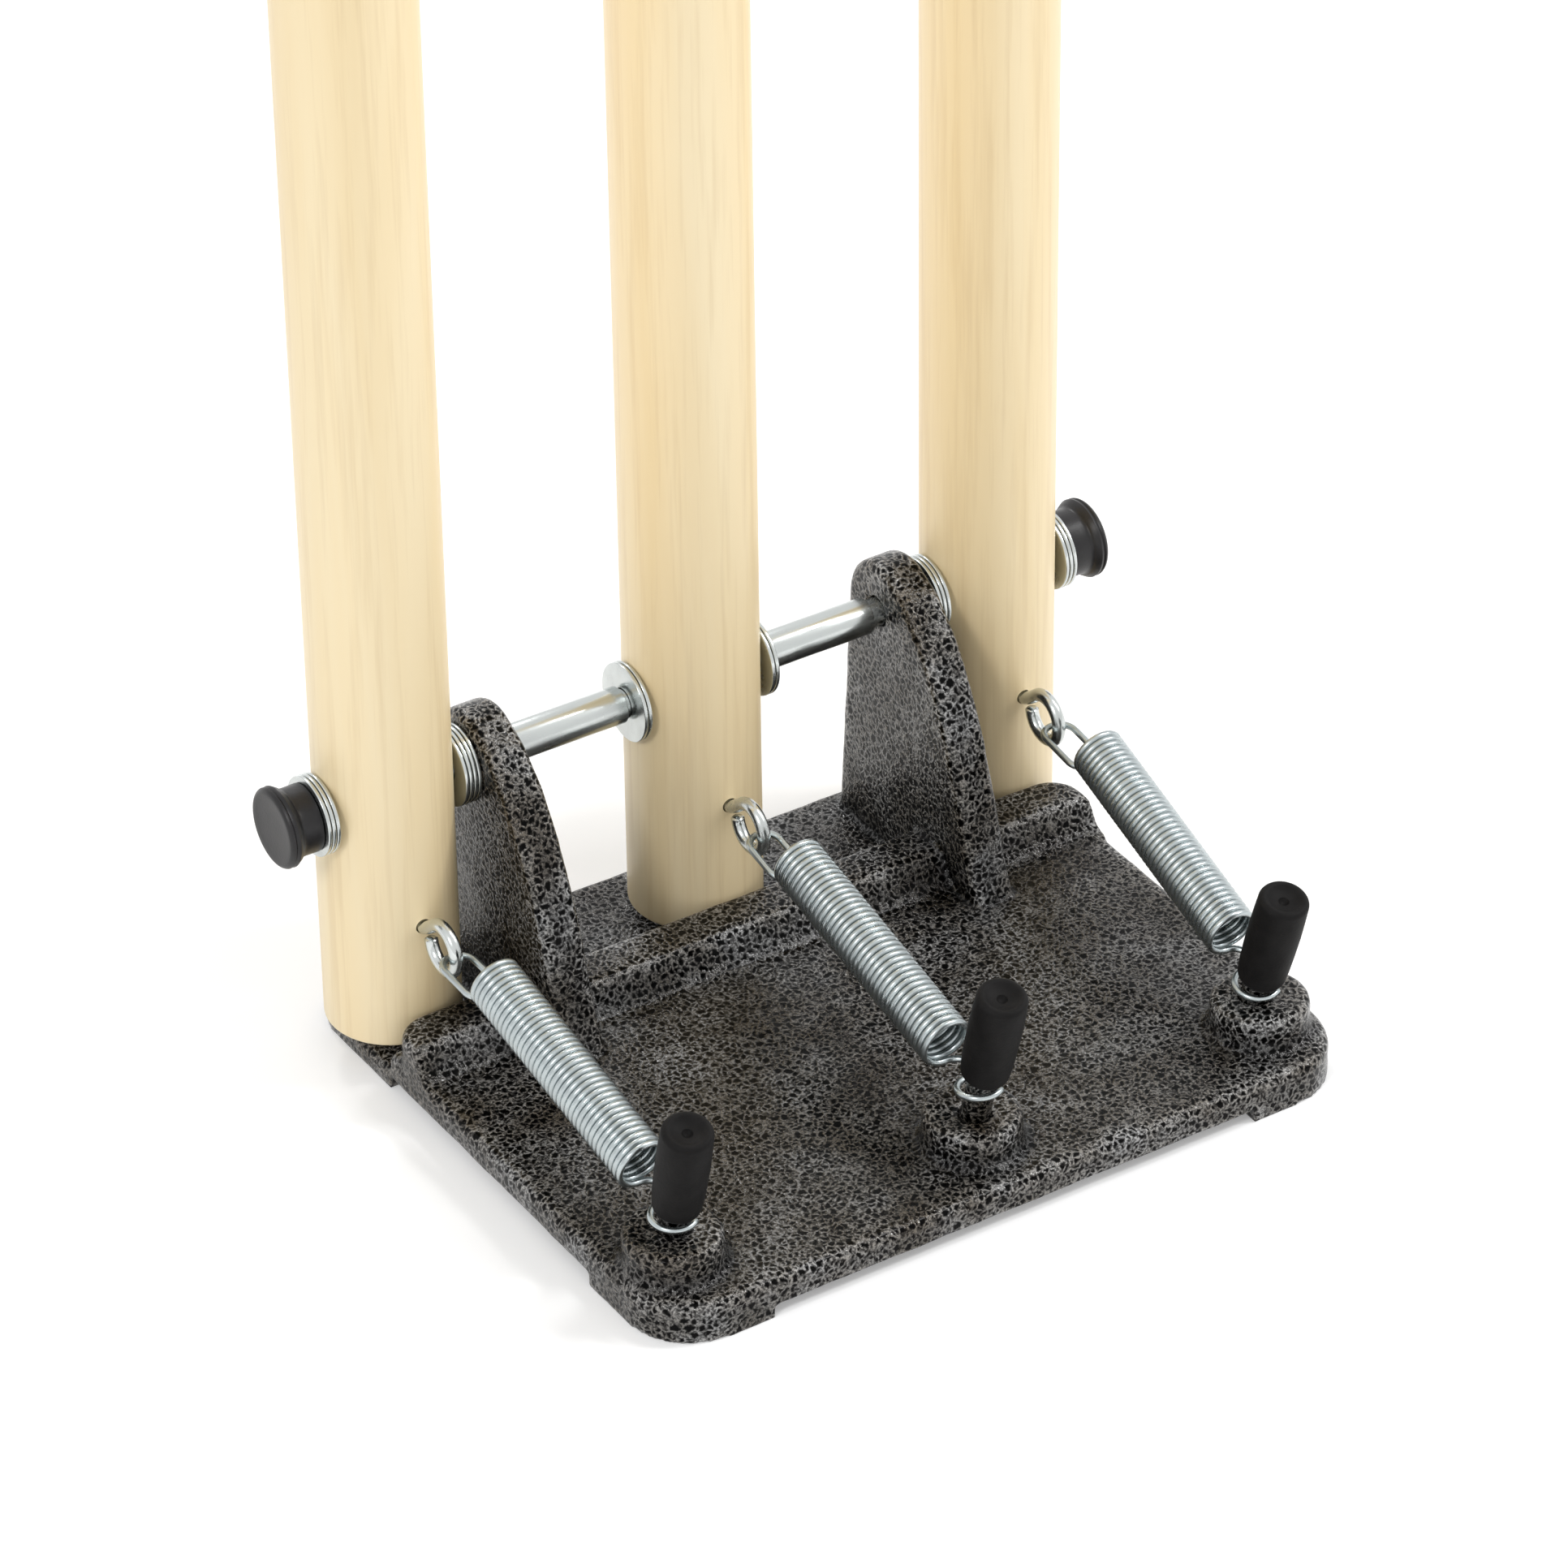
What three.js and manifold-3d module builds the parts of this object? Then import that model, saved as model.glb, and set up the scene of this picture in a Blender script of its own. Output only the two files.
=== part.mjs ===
import * as THREE from 'three';
import { mergeVertices } from 'three/addons/utils/BufferGeometryUtils.js';
import Module from 'manifold-3d';

// Spring-back cricket stumps: three stumps that hinge on one axle over a cast base.
// Millimetres. X runs along the axle, +Y to the back, +Z up, and the ground is at Z = 0.
// The origin is the middle of the base's outline, on the ground.

// Driving dimensions of the wicket
const wicketWidth = 228.6;
const wicketHeight = 711.2;
const stumpDiameter = 37.3;
const stumpGroundGap = 10.8;
const stumpFootChamfer = 1.2;
const stumpDomeHeight = 7;
const bailGrooveRadius = 8;
const bailGrooveDepth = 3.5;

// Axle, spacer tubes, washers and end caps
const axleHeight = 81.1;
const rodDiameter = 8;
const rodEndGap = 0.5;
const runningGap = 0.3;
const tubeDiameter = 10.4;
const tubeLength = 34.3;
const tubeBareRod = 1.2;
const washerDiameter = 22.4;
const washerThickness = 1.1;
const washerGap = 0.23;
const outerWasherCount = 3;
const leftInnerWasherCount = 4;
const rightInnerWasherCount = 3;
const middleWasherCount = 2;
const capBodyDiameter = 19;
const capFlangeDiameter = 22.6;
const capLength = 10.6;
const capFlangeLength = 3.4;
const capFaceThickness = 2.2;
const capRimRadius = 1.2;
const capNeckFillet = 1.3;

// Cast base: plate, pads and rear ledge
const baseWidth = 216.4;
const baseDepth = 184;
const frontCornerRadius = 19;
const rearCornerRadius = 15;
const plateTop = 11.9;
const undersideHeight = 4;
const ledgeTop = 6.6;
const ledgeDepth = 45;
const plateEdgeRadius = 2.6;
const frontPadWidth = 33;
const frontPadDepth = 38;
const frontPadChamfer = 8;

// Cast base: stop ridge in front of the stumps
const ridgeTop = 21.1;
const ridgeTopWidth = 13.6;
const ridgeFootWidth = 18.3;
const ridgeFootFillet = 4;
const ridgeEdgeRadius = 2.4;
const ridgeCornerRadius = 10;
const stumpRestGap = 0.35;

// Cast base: the two ears that hold the axle
const earInsideSpan = 118.6;
const earThickness = 12.2;
const earTopRadius = 14.6;
const earFrontReach = 49;
const earRearReach = 19.7;
const earFootFlare = 4.5;
const earEdgeRadius = 1.6;
const earFrontShares = [[0.51, -0.115], [0.78, 0.36], [0.955, 0.86]];
const earArcEndDegrees = 105;

// Cast base: round bosses under the spring pegs
const bossDiameter = 27;
const bossTop = 21.5;
const bossFootFillet = 3;
const bossEdgeRadius = 1.6;
const bossSpan = 184;
const bossFrontInset = 22.2;

// Spring pegs and their rubber sleeves
const pegDiameter = 8;
const pegLength = 32.2;
const pegSpan = 182.2;
const pegSocketFloor = 6.5;
const pegTopRadius = 1.5;
const outerPegFootShift = -0.9;
const middlePegFootShift = 1.4;
const outerPegLean = 15.3;
const middlePegLean = 15.5;
const outerPegSplay = 2;
const sleeveLength = 31.6;
const sleeveFootDiameter = 13.2;
const sleeveBodyDiameter = 14.3;
const sleeveHeadDiameter = 13.8;
const sleeveFootRadius = 2.6;
const sleeveHeadRadius = 1.6;
const sleeveBodyShare = 0.6;
const sleeveBoreDepth = 26.4;
const sleeveDishDepth = 1.4;
const sleeveDimpleRadius = 1.6;
const leftSleeveLift = 7.4;
const middleSleeveLift = 15;
const rightSleeveLift = 6.4;

// Screw eyes
const eyeWireDiameter = 3.7;
const eyeRingRadius = 6.55;
const eyeRingReach = 10.4;
const eyeShankRise = 1;
const eyeShankDepth = 17;
const eyeNeckDegrees = 50;
const eyeCutDegrees = -20;
const leftEyeHeight = 47.1;
const middleEyeHeight = 49.4;
const rightEyeHeight = 49.2;

// Tension springs
const springWireDiameter = 1.5;
const coilDiameter = 15.3;
const coilCurls = 32;
const topLoopRadius = 4.6;
const topLoopCutGap = 2;
const leftTopLoopLength = 18.5;
const middleTopLoopLength = 17.8;
const rightTopLoopLength = 20.2;
const hookRadius = 5.9;
const hookSweepDegrees = 205;
const leftHookReach = 15.3;
const middleHookReach = 16.2;
const rightHookReach = 14.3;
const coilKickDegrees = 3.3;
const leftRimDrop = 0.2;
const middleRimDrop = 3;
const rightRimDrop = -0.9;
const outerHookLift = 3.6;
const middleHookLift = 9.6;
const springSeatGap = 0.45;

// Overrun of a cut past the face it goes through
const overrun = 1;

// Facets of the round pieces, as counts
const stumpSides = 28;
const boreSides = 16;
const rodSides = 16;
const washerSides = 16;
const capSides = 20;
const bossSides = 20;
const sleeveSides = 16;
const eyeSides = 8;
const eyeRingSteps = 20;
const curlSteps = 8;
const springSides = 5;
const loopArcSteps = 6;
const roundSteps = 3;

// Places that follow from the driving dimensions
const stumpRadius = stumpDiameter / 2;
const stumpPitch = (wicketWidth - stumpDiameter) / 2;
const rodRadius = rodDiameter / 2;
const boreRadius = rodRadius + runningGap;
const ridgeRear = baseDepth / 2 - ledgeDepth;
const axleY = ridgeRear + stumpRestGap + stumpRadius;
const earInside = earInsideSpan / 2;
const earOutside = earInside + earThickness;
const bossY = bossFrontInset - baseDepth / 2;
const washerPitch = washerThickness + washerGap;
const outerStackEnd = stumpPitch + stumpRadius + washerGap + outerWasherCount * washerPitch;
const rodHalfLength = outerStackEnd + capLength - capFaceThickness - rodEndGap;
const degrees = Math.PI / 180;

// The stumps from left to right, each with its own eye, peg and spring
const stations = [
  {
    name: 'left',
    x: -stumpPitch,
    bossX: -bossSpan / 2,
    pegX: -pegSpan / 2,
    pegFootShift: outerPegFootShift,
    pegLean: outerPegLean,
    pegSplay: -outerPegSplay,
    eyeHeight: leftEyeHeight,
    sleeveLift: leftSleeveLift,
    hookLift: outerHookLift,
    hookReach: leftHookReach,
    topLoopLength: leftTopLoopLength,
    rimDrop: leftRimDrop,
  },
  {
    name: 'middle',
    x: 0,
    bossX: 0,
    pegX: 0,
    pegFootShift: middlePegFootShift,
    pegLean: middlePegLean,
    pegSplay: 0,
    eyeHeight: middleEyeHeight,
    sleeveLift: middleSleeveLift,
    hookLift: middleHookLift,
    hookReach: middleHookReach,
    topLoopLength: middleTopLoopLength,
    rimDrop: middleRimDrop,
  },
  {
    name: 'right',
    x: stumpPitch,
    bossX: bossSpan / 2,
    pegX: pegSpan / 2,
    pegFootShift: outerPegFootShift,
    pegLean: outerPegLean,
    pegSplay: outerPegSplay,
    eyeHeight: rightEyeHeight,
    sleeveLift: rightSleeveLift,
    hookLift: outerHookLift,
    hookReach: rightHookReach,
    topLoopLength: rightTopLoopLength,
    rimDrop: rightRimDrop,
  },
];

// Materials
function finish(color, roughness, metalness) {
  return new THREE.MeshStandardMaterial({ color, roughness, metalness });
}

const castPaint = () => finish(0x2f2b2c, 0.45, 0.3);
const zinc = () => finish(0xaeb4b8, 0.35, 0.9);
const wood = () => finish(0xe6d2a6, 0.55, 0);
const rubber = () => finish(0x1c1b1b, 0.7, 0);
const blackCap = () => finish(0x232122, 0.5, 0);

// Closed solids for joining and cutting
const wasm = await Module();
wasm.setup();

function closedMesh(geometry) {
  const bare = geometry.clone();
  bare.deleteAttribute('normal');
  bare.deleteAttribute('uv');
  const merged = mergeVertices(bare);
  const corners = merged.index.array;
  const kept = [];
  for (let i = 0; i < corners.length; i += 3) {
    const [a, b, c] = [corners[i], corners[i + 1], corners[i + 2]];
    if (a !== b && b !== c && c !== a) {
      kept.push(a, b, c);
    }
  }
  merged.setIndex(kept);
  return merged;
}

function solid(geometry) {
  const closed = closedMesh(geometry);
  const vertProperties = new Float32Array(closed.attributes.position.array);
  const triVerts = new Uint32Array(closed.index.array);
  return new wasm.Manifold(new wasm.Mesh({ numProp: 3, vertProperties, triVerts }));
}

function solidGeometry(shape) {
  const mesh = shape.getMesh();
  const geometry = new THREE.BufferGeometry();
  geometry.setAttribute('position', new THREE.BufferAttribute(mesh.vertProperties, 3));
  geometry.setIndex(new THREE.BufferAttribute(mesh.triVerts, 1));
  return geometry;
}

function union(shapes) {
  return shapes.reduce((whole, shape) => whole.add(shape));
}

// A profile of [radius, height] points spun round the Z axis or the X axis
function spin(points, sides) {
  const profile = points.map(([radius, height]) => new THREE.Vector2(radius, height));
  return new THREE.LatheGeometry(profile, sides).rotateX(Math.PI / 2);
}

function spinAlongX(points, sides) {
  return spin(points, sides).rotateY(Math.PI / 2);
}

function rod(radius, length, sides) {
  return spin([[0, -length / 2], [radius, -length / 2], [radius, length / 2], [0, length / 2]], sides);
}

// Points of an arc about a centre, from one angle to another
function arc(centreX, centreY, radius, from, to, steps) {
  const points = [];
  for (let i = 0; i <= steps; i += 1) {
    const angle = (from + (to - from) * i / steps) * degrees;
    points.push([centreX + radius * Math.cos(angle), centreY + radius * Math.sin(angle)]);
  }
  return points;
}

// A shape in Y and Z, extruded along X between two places
function prismAlongX(shape, fromX, toX, bevel = 0, steps = roundSteps) {
  const settings = { depth: toX - fromX - 2 * bevel, curveSegments: steps, bevelEnabled: false };
  if (bevel > 0) {
    Object.assign(settings, { bevelEnabled: true, bevelThickness: bevel, bevelSize: bevel });
    Object.assign(settings, { bevelOffset: -bevel, bevelSegments: 1 });
  }
  const geometry = new THREE.ExtrudeGeometry(shape, settings);
  const axes = [new THREE.Vector3(0, 1, 0), new THREE.Vector3(0, 0, 1), new THREE.Vector3(1, 0, 0)];
  geometry.applyMatrix4(new THREE.Matrix4().makeBasis(...axes));
  return geometry.translate(fromX + bevel, 0, 0);
}

function block(fromX, toX, fromY, toY, fromZ, toZ) {
  const box = new THREE.BoxGeometry(toX - fromX, toY - fromY, toZ - fromZ);
  return solid(box.translate((fromX + toX) / 2, (fromY + toY) / 2, (fromZ + toZ) / 2));
}

function cutter(radius, fromX, toX, y, z) {
  const geometry = rod(radius, toX - fromX, boreSides).rotateY(Math.PI / 2);
  return solid(geometry.translate((fromX + toX) / 2, y, z));
}

// Base outline with its own front and rear corner radii
function outline(halfWidth, front, rear, frontRadius, rearRadius) {
  const shape = new THREE.Shape();
  shape.absarc(-halfWidth + frontRadius, front + frontRadius, frontRadius, Math.PI, 1.5 * Math.PI);
  shape.absarc(halfWidth - frontRadius, front + frontRadius, frontRadius, 1.5 * Math.PI, 2 * Math.PI);
  shape.absarc(halfWidth - rearRadius, rear - rearRadius, rearRadius, 0, Math.PI / 2);
  shape.absarc(-halfWidth + rearRadius, rear - rearRadius, rearRadius, Math.PI / 2, Math.PI);
  shape.closePath();
  return shape;
}

// A slab on the ground with a rounded upper edge
function roundedSlab(shape, top, radius) {
  const geometry = new THREE.ExtrudeGeometry(shape, {
    depth: top - radius,
    curveSegments: 2 * roundSteps,
    bevelEnabled: true,
    bevelThickness: radius,
    bevelSize: radius,
    bevelOffset: -radius,
    bevelSegments: roundSteps,
  });
  const reach = baseWidth + baseDepth;
  return solid(geometry).intersect(block(-reach, reach, -reach, reach, 0, top + overrun));
}

function basePlate() {
  const shape = outline(baseWidth / 2, -baseDepth / 2, baseDepth / 2, frontCornerRadius, rearCornerRadius);
  const ledge = roundedSlab(shape, ledgeTop, plateEdgeRadius);
  const plate = roundedSlab(shape, plateTop, plateEdgeRadius);
  const reach = baseWidth;
  const front = block(-reach, reach, -reach, ridgeRear, -overrun, plateTop + overrun);
  return ledge.add(plate.intersect(front));
}

// The space under the plate, between the front pads and the rear ledge
function undersidePocket() {
  const reach = baseWidth;
  const space = block(-reach, reach, -reach, ridgeRear, -overrun, undersideHeight);
  const pads = [-1, 1].map((hand) => {
    const inner = baseWidth / 2 - frontPadWidth;
    const rear = frontPadDepth - baseDepth / 2;
    const shape = new THREE.Shape();
    shape.moveTo(hand * inner, -reach);
    shape.lineTo(hand * inner, rear - frontPadChamfer);
    shape.lineTo(hand * (inner + frontPadChamfer), rear);
    shape.lineTo(hand * reach, rear);
    shape.lineTo(hand * reach, -reach);
    const geometry = new THREE.ExtrudeGeometry(shape, { depth: undersideHeight + 2 * overrun, bevelEnabled: false });
    return solid(geometry.translate(0, 0, -2 * overrun));
  });
  return space.subtract(union(pads));
}

// The stop ridge: its section along the axle, trimmed by its own rounded plan
function stopRidge() {
  const halfWidth = baseWidth / 2;
  const topFront = ridgeRear - ridgeTopWidth;
  const footFront = ridgeRear - ridgeFootWidth;
  const section = new THREE.Shape();
  section.moveTo(ridgeRear, ledgeTop - overrun);
  section.lineTo(ridgeRear, ridgeTop + overrun);
  section.lineTo(topFront + ridgeEdgeRadius, ridgeTop + overrun);
  section.lineTo(topFront + ridgeEdgeRadius, ridgeTop);
  section.quadraticCurveTo(topFront, ridgeTop, topFront - ridgeEdgeRadius / 2, ridgeTop - ridgeEdgeRadius);
  section.lineTo(footFront + ridgeFootFillet / 2, plateTop + ridgeFootFillet);
  section.quadraticCurveTo(footFront, plateTop, footFront - ridgeFootFillet, plateTop);
  section.lineTo(footFront - ridgeFootFillet, ledgeTop - overrun);
  const prism = solid(prismAlongX(section, -halfWidth - overrun, halfWidth + overrun));
  const front = footFront - 2 * ridgeCornerRadius;
  const plan = outline(halfWidth, front, ridgeRear, ridgeCornerRadius, ridgeCornerRadius);
  return prism.intersect(roundedSlab(plan, ridgeTop, ridgeEdgeRadius));
}

// Side view of an ear, with the axle's centre at the origin
function earOutline() {
  const drop = axleHeight - plateTop;
  const rearFoot = ledgeTop - axleHeight;
  const foot = undersideHeight / 2 - axleHeight;
  const front = earFrontShares.map(([reach, fall]) => [-reach * earFrontReach, -fall * drop]);
  const shape = new THREE.Shape();
  shape.moveTo(earRearReach + earFootFlare / 2, foot);
  shape.lineTo(earRearReach + earFootFlare / 2, rearFoot);
  shape.quadraticCurveTo(earRearReach, rearFoot, earRearReach, rearFoot + earFootFlare);
  shape.lineTo(earTopRadius, 0);
  arc(0, 0, earTopRadius, 0, earArcEndDegrees, 3 * roundSteps).slice(1).forEach(([y, z]) => shape.lineTo(y, z));
  shape.bezierCurveTo(...front.flat());
  shape.quadraticCurveTo(-earFrontReach, -drop + earFootFlare, -earFrontReach - earFootFlare / 2, -drop);
  shape.lineTo(-earFrontReach - earFootFlare / 2, foot);
  return shape;
}

// One ear, solid between its two X places
function ear(hand) {
  const [fromX, toX] = hand > 0 ? [earInside, earOutside] : [-earOutside, -earInside];
  const plain = prismAlongX(earOutline(), fromX, toX, earEdgeRadius, 2 * roundSteps);
  return solid(plain.translate(0, axleY, axleHeight));
}

// A round boss with a filleted foot
function pegBoss(x) {
  const radius = bossDiameter / 2;
  const points = [
    [0, undersideHeight + overrun],
    [radius + bossFootFillet, undersideHeight + overrun],
    ...arc(radius + bossFootFillet, plateTop + bossFootFillet, bossFootFillet, 270, 180, roundSteps),
    ...arc(radius - bossEdgeRadius, bossTop - bossEdgeRadius, bossEdgeRadius, 0, 90, roundSteps - 1),
    [0, bossTop],
  ];
  const trim = baseWidth / 2 - plateEdgeRadius / 2;
  const geometry = spin(points, bossSides).translate(x, bossY, 0);
  return solid(geometry).intersect(block(-trim, trim, -baseDepth, baseDepth, 0, bossTop + overrun));
}

// The line of a peg: its foot on the boss's top, its direction and its turn from upright
function pegLine(station) {
  const foot = new THREE.Vector3(station.pegX, bossY - station.pegFootShift, bossTop);
  const lean = Math.tan(station.pegLean * degrees);
  const splay = Math.tan(station.pegSplay * degrees);
  const direction = new THREE.Vector3(splay, -lean, 1).normalize();
  const turn = new THREE.Quaternion().setFromUnitVectors(new THREE.Vector3(0, 0, 1), direction);
  return { foot, direction, turn };
}

function pegSocketDepth(station) {
  return (bossTop - pegSocketFloor) / pegLine(station).direction.z;
}

function pegSocket(station) {
  const { foot, turn } = pegLine(station);
  const depth = pegSocketDepth(station);
  const hole = rod(pegDiameter / 2 + runningGap, depth + 2 * overrun, boreSides);
  hole.translate(0, 0, overrun - depth / 2);
  hole.applyQuaternion(turn).translate(foot.x, foot.y, foot.z);
  return solid(hole);
}

function baseCasting() {
  const bosses = stations.map((station) => pegBoss(station.bossX));
  const whole = union([basePlate(), stopRidge(), ear(-1), ear(1), ...bosses]);
  const bore = cutter(boreRadius, -earOutside - overrun, earOutside + overrun, axleY, axleHeight);
  const sockets = stations.map(pegSocket);
  return solidGeometry(whole.subtract(undersidePocket()).subtract(union([bore, ...sockets])));
}

// A steel peg with a rounded top, its foot's centre at the origin
function pegGeometry(station) {
  const radius = pegDiameter / 2;
  const bottom = runningGap - pegSocketDepth(station);
  return spin([
    [0, bottom],
    [radius, bottom],
    ...arc(radius - pegTopRadius, pegLength - pegTopRadius, pegTopRadius, 0, 90, roundSteps),
    [0, pegLength],
  ], rodSides);
}

// A rubber sleeve, blind at the top, with a dished head and a small dimple
function sleeveGeometry() {
  const footRadius = sleeveFootDiameter / 2;
  const bodyRadius = sleeveBodyDiameter / 2;
  const headRadius = sleeveHeadDiameter / 2;
  const bore = pegDiameter / 2 + runningGap;
  const dishEdge = headRadius - sleeveHeadRadius;
  return spin([
    [0, sleeveBoreDepth],
    [bore, sleeveBoreDepth],
    [bore, 0],
    ...arc(footRadius - sleeveFootRadius, sleeveFootRadius, sleeveFootRadius, 300, 360, roundSteps - 1),
    [bodyRadius, sleeveLength * sleeveBodyShare],
    ...arc(headRadius - sleeveHeadRadius, sleeveLength - sleeveHeadRadius, sleeveHeadRadius, 0, 90, roundSteps),
    [dishEdge - sleeveDishDepth, sleeveLength - sleeveDishDepth],
    [sleeveDimpleRadius, sleeveLength - sleeveDishDepth],
    [0, sleeveLength - sleeveDishDepth - sleeveDimpleRadius],
  ], sleeveSides);
}

// A stump about its hinge: domed top with a bail groove, bored for the axle and the eye
function stumpGeometry(station) {
  const bottom = stumpGroundGap - axleHeight;
  const top = wicketHeight - axleHeight;
  const dome = arc(0, 0, 1, 0, 90, 5).map(([out, rise]) => {
    return [stumpRadius * out, top - stumpDomeHeight + stumpDomeHeight * rise];
  });
  dome[dome.length - 1][0] = 0;
  const body = solid(spin([
    [0, bottom],
    [stumpRadius - stumpFootChamfer, bottom],
    [stumpRadius, bottom + stumpFootChamfer],
    ...dome,
  ], stumpSides));
  const reach = stumpRadius + overrun;
  const groove = cutter(bailGrooveRadius, -reach, reach, 0, top - bailGrooveDepth + bailGrooveRadius);
  const bore = cutter(boreRadius, -reach, reach, 0, 0);
  const pilotDepth = eyeShankDepth + runningGap;
  const pilot = rod(eyeWireDiameter / 2 + runningGap, pilotDepth + overrun, boreSides).rotateX(Math.PI / 2);
  pilot.translate(0, -stumpRadius + (pilotDepth - overrun) / 2, eyeRingZ(station) + eyeShankRise);
  return solidGeometry(body.subtract(union([groove, bore, solid(pilot)])));
}

// Height of an eye's ring over the axle, and the ring's centre in the part's frame
function eyeRingZ(station) {
  return station.eyeHeight - axleHeight;
}

function eyeRingCentre(station) {
  return new THREE.Vector3(station.x, axleY - stumpRadius - eyeRingReach, station.eyeHeight);
}

// A tube of any number of sides along points, closed at both ends
function sweep(points, radius, sides) {
  const positions = [];
  const corners = [];
  const tangent = new THREE.Vector3();
  const normal = new THREE.Vector3(0, 0, 1);
  if (Math.abs(points[1].clone().sub(points[0]).normalize().z) > Math.SQRT1_2) {
    normal.set(1, 0, 0);
  }
  points.forEach((point, i) => {
    const before = points[Math.max(i - 1, 0)];
    const after = points[Math.min(i + 1, points.length - 1)];
    tangent.subVectors(after, before).normalize();
    normal.addScaledVector(tangent, -normal.dot(tangent)).normalize();
    const binormal = new THREE.Vector3().crossVectors(tangent, normal);
    for (let k = 0; k < sides; k += 1) {
      const angle = 2 * Math.PI * k / sides;
      const corner = point.clone().addScaledVector(normal, radius * Math.cos(angle));
      corner.addScaledVector(binormal, radius * Math.sin(angle));
      positions.push(corner.x, corner.y, corner.z);
    }
  });
  for (let i = 0; i < points.length - 1; i += 1) {
    for (let k = 0; k < sides; k += 1) {
      const a = i * sides + k;
      const b = i * sides + (k + 1) % sides;
      corners.push(a, b, a + sides);
      corners.push(b, b + sides, a + sides);
    }
  }
  const last = (points.length - 1) * sides;
  for (let k = 1; k < sides - 1; k += 1) {
    corners.push(0, k + 1, k);
    corners.push(last, last + k, last + k + 1);
  }
  const geometry = new THREE.BufferGeometry();
  geometry.setAttribute('position', new THREE.BufferAttribute(new Float32Array(positions), 3));
  geometry.setIndex(corners);
  return geometry;
}

// A screw eye about the stump's hinge: shank in the wood, neck, open ring and cut end
function eyeGeometry(station) {
  const centreY = -stumpRadius - eyeRingReach;
  const centreZ = eyeRingZ(station);
  const ringEnd = eyeCutDegrees + 360;
  const ring = arc(centreY, centreZ, eyeRingRadius, ringEnd, eyeNeckDegrees, eyeRingSteps);
  const neckAngle = eyeNeckDegrees * degrees;
  const neckStart = new THREE.Vector2(...ring[ring.length - 1]);
  const shankZ = centreZ + eyeShankRise;
  const slide = (neckStart.y - shankZ) / Math.cos(neckAngle);
  const bend = new THREE.Vector2(neckStart.x + slide * Math.sin(neckAngle), shankZ);
  const neckEnd = new THREE.Vector2(-stumpRadius - runningGap, shankZ);
  const neck = new THREE.QuadraticBezierCurve(neckStart, bend, neckEnd).getPoints(roundSteps).slice(1);
  const shankEnd = [-stumpRadius + eyeShankDepth, shankZ];
  const line = [...ring, ...neck.map((point) => [point.x, point.y]), shankEnd];
  return sweep(line.map(([y, z]) => new THREE.Vector3(0, y, z)), eyeWireDiameter / 2, eyeSides);
}

// Where a spring seats: the inside of its eye, and a hook circle round its peg
function springSeats(station) {
  const wire = springWireDiameter / 2;
  const { foot, direction } = pegLine(station);
  const peg = foot.clone().addScaledVector(direction, station.hookLift);
  const ring = eyeRingCentre(station);
  const pull = ring.clone().sub(peg).normalize();
  const inside = eyeRingRadius - eyeWireDiameter / 2 - wire - springSeatGap;
  const tip = ring.clone().addScaledVector(pull, -inside);
  const side = new THREE.Vector3().crossVectors(pull, new THREE.Vector3(0, 0, 1)).normalize();
  const across = new THREE.Vector3().crossVectors(side, direction).normalize().dot(pull);
  const pegHalf = pegDiameter / 2 / Math.abs(across);
  const hook = peg.clone().addScaledVector(pull, hookRadius - wire - springSeatGap - pegHalf);
  return { tip, hook, side };
}

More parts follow.
